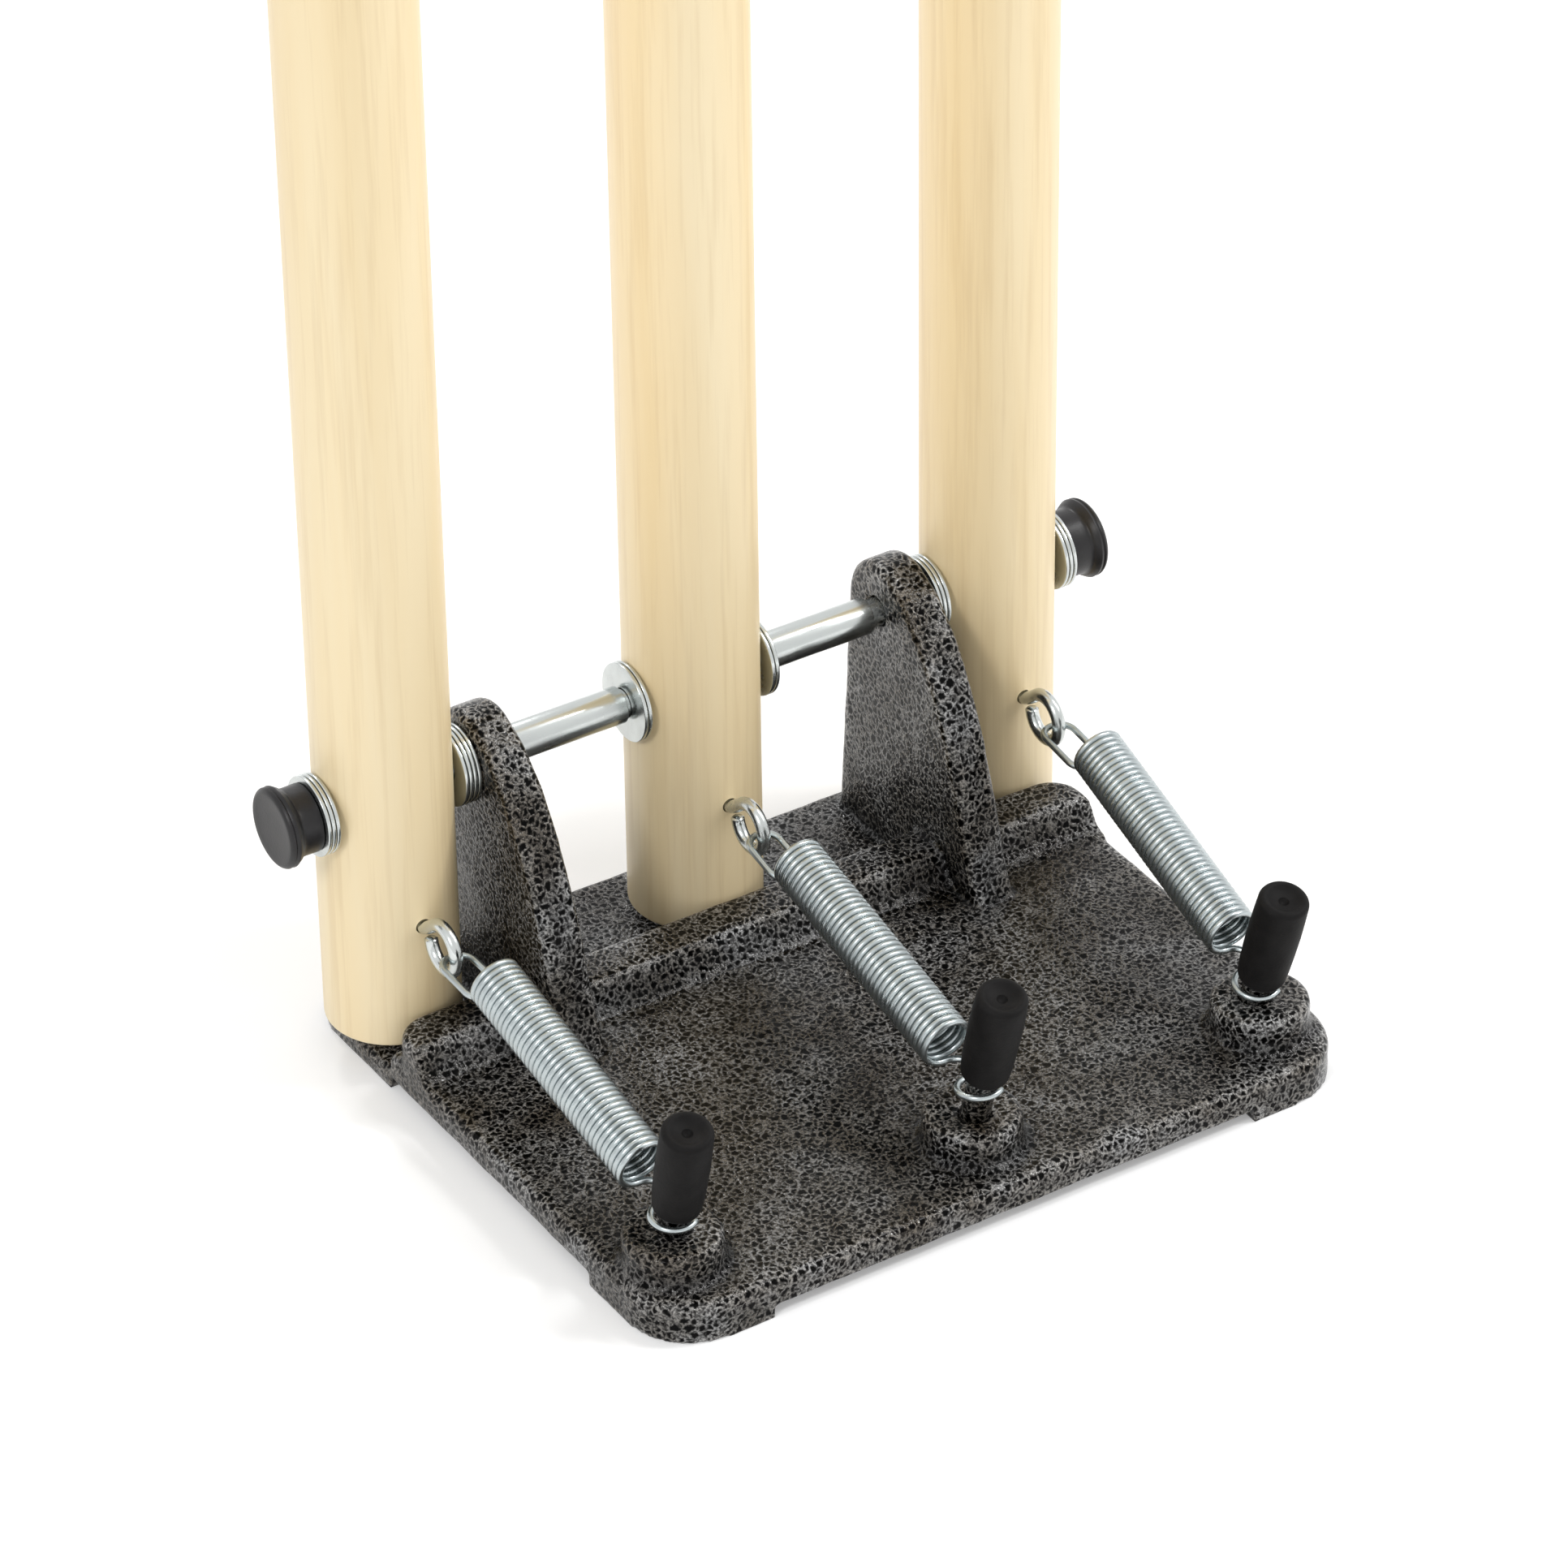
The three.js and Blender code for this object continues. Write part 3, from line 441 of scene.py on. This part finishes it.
# ---------------------------------------------------------------- cast base
def cast_skin():
    """The casting with its edges run soft, as a sand casting under thick paint has them."""
    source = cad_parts["base_casting"]
    made = bpy.data.objects.new("cast_base", source.data.copy())
    bpy.context.scene.collection.objects.link(made)
    change = made.modifiers.new("skin", "REMESH")
    change.mode = "VOXEL"
    change.voxel_size = SKIN_VOXEL
    soften = made.modifiers.new("soften", "SMOOTH")
    soften.factor = 0.5
    soften.iterations = 4
    baked(made)
    low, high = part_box("base_casting")
    count = len(made.data.vertices)
    spots = np.empty(3 * count)
    made.data.vertices.foreach_get("co", spots)
    normals = np.empty(3 * count)
    made.data.vertex_normals.foreach_get("vector", normals)
    spots, normals = spots.reshape(-1, 3), normals.reshape(-1, 3)
    swell = [sum(noise.noise(Vector(spot) * scale) * height for scale, height in SKIN_SWELLS)
             for spot in spots]
    moved = np.clip(spots + normals * (np.array(swell) - SKIN_INSET)[:, None], low, high)
    made.data.vertices.foreach_set("co", moved.ravel())
    made.data.polygons.foreach_set("use_smooth", [True] * len(made.data.polygons))
    made.data.update()

    # How far a point lies below (1) or above (-1) the smoothed skin round it sets painted shade in
    # hollows and painted highlights over edges.
    edges = np.empty(2 * len(made.data.edges), dtype=int)
    made.data.edges.foreach_get("vertices", edges)
    one, two = edges.reshape(-1, 2).T
    degree = np.bincount(edges, minlength=count)
    level = moved.copy()
    for _ in range(PAINTED_LIGHT_ROUNDS):
        level = np.stack([
            (np.bincount(one, axis[two], count) + np.bincount(two, axis[one], count)) / degree
            for axis in level.T], axis=1)
    painted_light_hollow = np.clip(((level - moved) * normals).sum(axis=1) / SKIN_VOXEL, -1, 1)
    made.data.attributes.new("painted_light_hollow", "FLOAT", "POINT").data.foreach_set("value", painted_light_hollow)
    made.data.materials.clear()
    made.data.materials.append(PAINT)
    stand_in(made, "base", "base_casting")


cast_skin()


# ---------------------------------------------------------------- axle, tubes, washers, caps
def axle_ring(name, outer, sides):
    """A tube or washer on the axle, as long as its CAD node, with a rounded outer rim."""
    low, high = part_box(name)
    length = (high[0] - low[0]) / MM
    rim = outer - RIM_BEVEL
    profile = [(BORE_RADIUS, 0), (rim, 0), *arc(rim, RIM_BEVEL, RIM_BEVEL, -60, 0, 2),
               *arc(rim, length - RIM_BEVEL, RIM_BEVEL, 0, 60, 2), (rim, length),
               (BORE_RADIUS, length)]
    made = turned("bright_" + name, profile, sides, ZINC, along_axle(low[0] / MM))
    stand_in(made, "base", name)


def axle_set():
    low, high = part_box("axle_rod")
    length = (high[0] - low[0]) / MM
    # The profile is drawn at one length and squeezed to the node's, and its bevel with it.
    bevel = 0.4
    depth = bevel * length / ROD_DRAWN_LENGTH
    profile = [(0, 0), (ROD_RADIUS - bevel, 0), (ROD_RADIUS, depth), (ROD_RADIUS, length - depth),
               (ROD_RADIUS - bevel, length), (0, length)]
    rod = turned("rod_bright", profile, 48, ZINC, along_axle(low[0] / MM))
    stand_in(rod, "base", "axle_rod")
    for name in ("spacer_tube_left", "spacer_tube_right"):
        axle_ring(name, TUBE_RADIUS, 64)
    for name in sorted(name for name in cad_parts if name.startswith("washer_")):
        axle_ring(name, WASHER_RADIUS, 72)
    for name, hand in (("axle_cap_left", -1), ("axle_cap_right", 1)):
        low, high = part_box(name)
        start = (low[0] if hand > 0 else high[0]) / MM
        # From the bottom of the blind bore out over the open end and the waist to the flat head.
        profile = [
            (0, 8.4), (BORE_RADIUS, 8.4), (BORE_RADIUS, 0), (9.2, 0),
            *arc(9.2, RIM_BEVEL, RIM_BEVEL, -45, 0, 2),
            (9.45, 4.2), *arc(11.0, 5.2, 1.5, 180, 112, 5), *arc(9.9, 8.0, 1.4, 45, 0, 2)[::-1],
            *arc(9.7, 9.0, 1.6, 15, 88, 7), (8.6, 10.5), (4.5, 10.3), (0, 10.3)]
        made = turned("soft_" + name, profile, 80, CAP, along_axle(start, hand), 40)
        stand_in(made, "base", name)


axle_set()


# ---------------------------------------------------------------- pegs, stumps, eyes, springs
def peg_axis(station):
    """The point where a peg leaves its boss, the way it leans and the turn from Z to that way."""
    foot = Vector((station["peg_x"], station["peg_y"], BOSS_TOP))
    lean = math.tan(math.radians(station["lean"]))
    splay = math.tan(math.radians(station["splay"]))
    direction = Vector((splay, -lean, 1)).normalized()
    turn = Vector((0, 0, 1)).rotation_difference(direction).to_matrix().to_4x4()
    return foot, direction, turn


def peg_and_sleeve(station):
    foot, direction, turn = peg_axis(station)
    bevel, dome = 0.3, 1.5
    bottom = bevel - (BOSS_TOP - PEG_SEAT) / direction.z
    profile = [(0, bottom), (PEG_RADIUS - bevel, bottom), (PEG_RADIUS, bottom + bevel),
               *arc(PEG_RADIUS - dome, PEG_TOP - dome, dome, 0, 90, 5), (0, PEG_TOP)]
    peg = turned("peg_" + station["name"], profile, 48, PAINT, Matrix.Translation(foot) @ turn)
    stand_in(peg, "base", "spring_peg_" + station["name"])
    # From the bottom of the bore out over the open end and the swollen side to the dimpled head.
    profile = [
        (0, 26.4), (4.3, 26.4), (4.3, 0.4), (4.7, 0), *arc(4.0, 2.6, 2.6, 290, 350, 6),
        (6.85, 6), (7.05, 12), (7.15, 19), (7.05, 25), *arc(5.3, 30.0, 1.6, 5, 88, 7),
        (4.7, 31.35), (4.0, 30.7), (2.2, 30.35), (1.5, 30.2), (0.9, 29.3), (0, 29.0)]
    place = Matrix.Translation(foot + direction * station["sleeve"]) @ turn
    sleeve = turned("sleeve_" + station["name"], profile, 64, RUBBER, place, 40)
    stand_in(sleeve, "base", "peg_sleeve_" + station["name"])


def stump(station):
    """A long round stave with a low dome, bored for the axle and the eye and grooved for bails."""
    slices = [step * math.pi / 20 for step in range(10)]
    dome = [(STUMP_RADIUS * math.cos(angle), STUMP_TOP - DOME_RISE + DOME_RISE * math.sin(angle))
            for angle in slices]
    profile = [(0, STUMP_FOOT), (STUMP_RADIUS - FOOT_BEVEL - 0.2, STUMP_FOOT),
               *arc(STUMP_RADIUS - FOOT_BEVEL, STUMP_FOOT + FOOT_BEVEL, FOOT_BEVEL, -70, 0, 4)]
    profile += [(STUMP_RADIUS, STUMP_FOOT + FOOT_BEVEL + step * 17.25) for step in range(1, 40)]
    profile += [*dome, (0, STUMP_TOP)]
    made = turned("timber_stump_" + station["name"], profile, 96, WOOD,
                  Matrix.Translation((station["x"], AXLE_Y, 0)), 40)
    reach = STUMP_RADIUS + 1
    across = Matrix.Rotation(math.radians(90), 4, "Y")

    def drill(radius, z, sides):
        profile = [(0, -reach), (radius, -reach), (radius, reach), (0, reach)]
        place = Matrix.Translation((station["x"], AXLE_Y, z)) @ across
        return turned("drill", profile, sides, WOOD, place)

    pilot = [(0, 0), (PILOT_RADIUS, 0), (PILOT_RADIUS, PILOT_DEPTH), (0, PILOT_DEPTH)]
    into = Matrix.Rotation(math.radians(-90), 4, "X")
    outside = AXLE_Y - STUMP_RADIUS - 1.5
    front = Matrix.Translation((station["x"], outside, station["eye"] + EYE_RISE))
    groove = STUMP_TOP - BAIL_GROOVE_DEPTH + BAIL_GROOVE_RADIUS
    carve(made, [drill(BORE_RADIUS, AXLE_Z, 40), drill(BAIL_GROOVE_RADIUS, groove, 64),
                 turned("drill", pilot, 32, WOOD, front @ into)])
    mark_sharp(made.data, 30)
    stand_in(made, "stump_%s_body" % station["name"], "stump_" + station["name"])


def screw_eye(station):
    """A ring that bends into a straight shank in the stump."""
    y = AXLE_Y - STUMP_RADIUS - EYE_REACH
    z = station["eye"]
    ring = arc(y, z, EYE_RING, 357, EYE_NECK, 72)
    start = Vector(ring[-1])
    shank = z + EYE_RISE
    neck = math.radians(EYE_NECK)
    slide = (start.y - shank) / math.cos(neck)
    bend = Vector((start.x + slide * math.sin(neck), shank))
    end = Vector((AXLE_Y - STUMP_RADIUS - 0.3, shank))
    line = [Vector(point) for point in ring]
    for i in range(1, 15):
        t = i / 14
        line.append(start * (1 - t) ** 2 + bend * 2 * t * (1 - t) + end * t * t)
    line.append(Vector((AXLE_Y - STUMP_RADIUS + 17, shank)))
    path = [Vector((station["x"], point.x, point.y)) for point in line]
    made = swept("eye_" + station["name"], path, EYE_WIRE, 24, ZINC)
    stand_in(made, "stump_%s_body" % station["name"], "screw_eye_" + station["name"])


def spring(station):
    """A close coil with a long loop through its eye and a hook round its peg.

    The solids' thinner wire sets where the loop and the hook lie.
    """
    foot, direction, _ = peg_axis(station)
    peg = foot + direction * station["hook"]
    ring = Vector((station["x"], AXLE_Y - STUMP_RADIUS - EYE_REACH, station["eye"]))
    pull = (ring - peg).normalized()
    tip = ring - pull * (EYE_RING - EYE_WIRE - CAD_WIRE_RADIUS - SEAT_GAP)
    side = pull.cross(Vector((0, 0, 1))).normalized()
    across = side.cross(direction).normalized().dot(pull)
    hook = peg + pull * (HOOK_RADIUS - CAD_WIRE_RADIUS - SEAT_GAP - PEG_RADIUS / abs(across))

    pull = tip - hook
    length = pull.length - station["loop"] - station["reach"]
    pull.normalize()
    rise = side.cross(pull)
    along = pull * math.cos(COIL_KICK) + rise * math.sin(COIL_KICK)
    up = side.cross(along)
    middle = hook + pull * (station["reach"] + length / 2) - rise * station["drop"]
    shift = COIL_OUTSIDE / 2 - CAD_WIRE_RADIUS
    radius = COIL_OUTSIDE / 2 - WIRE_RADIUS
    low_rim = middle - along * (length / 2) + up * (shift - radius)
    high_rim = middle + along * (length / 2) + up * (shift - radius)

    to_hook = hook - low_rim
    distance = to_hook.length
    to_hook.normalize()
    join = (distance - HOOK_RADIUS) / 2
    line = arc(0, join, join, -90, 90, 20)
    line += arc(0, distance, HOOK_RADIUS, 270, 270 - HOOK_SWEEP, 44)[1:]
    last, before = Vector(line[-1]), Vector(line[-2])
    line.append(tuple(last + (last - before).normalized() * 1.5))
    lower = [low_rim + side * a + to_hook * b for a, b in line[1:]][::-1]

    coil = []
    steps = COIL_TURNS * 28
    for i in range(steps + 1):
        angle = 2 * math.pi * COIL_TURNS * i / steps
        point = low_rim + up * (radius * (1 - math.cos(angle))) - side * (radius * math.sin(angle))
        coil.append(point + along * (length * i / steps))

    to_tip = tip - high_rim
    crown = to_tip.length - TOP_LOOP_RADIUS
    to_tip.normalize()
    line = arc(0, TOP_LOOP_RADIUS, TOP_LOOP_RADIUS, 270, 180, 14)[1:]
    line += arc(0, crown, TOP_LOOP_RADIUS, 180, 0, 28)
    line.append((TOP_LOOP_RADIUS, 2))
    upper = [high_rim + side * a + to_tip * b for a, b in line]
    made = swept("wound_spring_" + station["name"], lower + coil + upper, WIRE_RADIUS, 10, SPRING)
    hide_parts("spring_" + station["name"])
    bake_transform(made)


for station in STATIONS:
    peg_and_sleeve(station)
    stump(station)
    screw_eye(station)
    spring(station)


# ---------------------------------------------------------------- studio
def backdrop_ray(tree):
    """1 for what the camera or a mirror sees, and 0 for what lights the part."""
    seen = node(tree, "ShaderNodeLightPath")
    made = node(tree, "ShaderNodeMath", operation="MAXIMUM")
    tree.links.new(seen.outputs["Is Camera Ray"], made.inputs[0])
    tree.links.new(seen.outputs["Is Glossy Ray"], made.inputs[1])
    return made.outputs[0]


def studio():
    mesh = bpy.data.meshes.new("floor")
    mesh.from_pydata([(-6, -6, 0), (6, -6, 0), (6, 6, 0), (-6, 6, 0)], [], [(0, 1, 2, 3)])
    floor = bpy.data.objects.new("floor", mesh)
    bpy.context.scene.collection.objects.link(floor)
    made, tree, shader = material("pale_floor", (0.86, 0.86, 0.86), 0.9)
    # The floor is lit by itself far out, where the lamps don't reach, and so runs into the white
    # backdrop.
    place = node(tree, "ShaderNodeTexCoord")
    away = node(tree, "ShaderNodeVectorMath", operation="LENGTH")
    tree.links.new(place.outputs["Object"], away.inputs[0])
    reach = mapped(tree, away.outputs["Value"], from_min=0.5, from_max=2.5, to_min=0.25, to_max=1.0)
    lift = node(tree, "ShaderNodeMath", operation="MULTIPLY")
    tree.links.new(backdrop_ray(tree), lift.inputs[0])
    tree.links.new(reach, lift.inputs[1])
    shader.inputs["Emission Color"].default_value = (1, 1, 1, 1)
    tree.links.new(lift.outputs[0], shader.inputs["Emission Strength"])
    mesh.materials.append(made)

    world = bpy.data.worlds.new("studio")
    world.use_nodes = True
    bpy.context.scene.world = world
    tree = world.node_tree
    background = tree.nodes["Background"]
    strength = mapped(tree, backdrop_ray(tree), to_min=0.69, to_max=1.0)
    tree.links.new(strength, background.inputs["Strength"])
    background.inputs["Color"].default_value = (1, 1, 1, 1)

    def lamp(name, place, target, size, power):
        data = bpy.data.lights.new(name, "AREA")
        data.shape = "SQUARE"
        data.size = size
        data.energy = power
        made = bpy.data.objects.new(name, data)
        made.location = place
        aim = Vector(target) - Vector(place)
        made.rotation_euler = aim.to_track_quat("-Z", "Y").to_euler()
        bpy.context.scene.collection.objects.link(made)

    lamp("key", (-2.0, -1.0, 1.8), (0, 0, 0.15), 0.5, 18)
    lamp("fill", (1.9, -0.9, 1.8), (0, 0, 0.15), 0.4, 18)
    lamp("back", (0.3, 1.8, 1.6), (0, 0, 0.15), 0.4, 8)
    lamp("top", (1.0, -0.3, 2.0), (0, 0, 0.05), 0.35, 9)
    bpy.context.scene.view_settings.view_transform = "Standard"


studio()
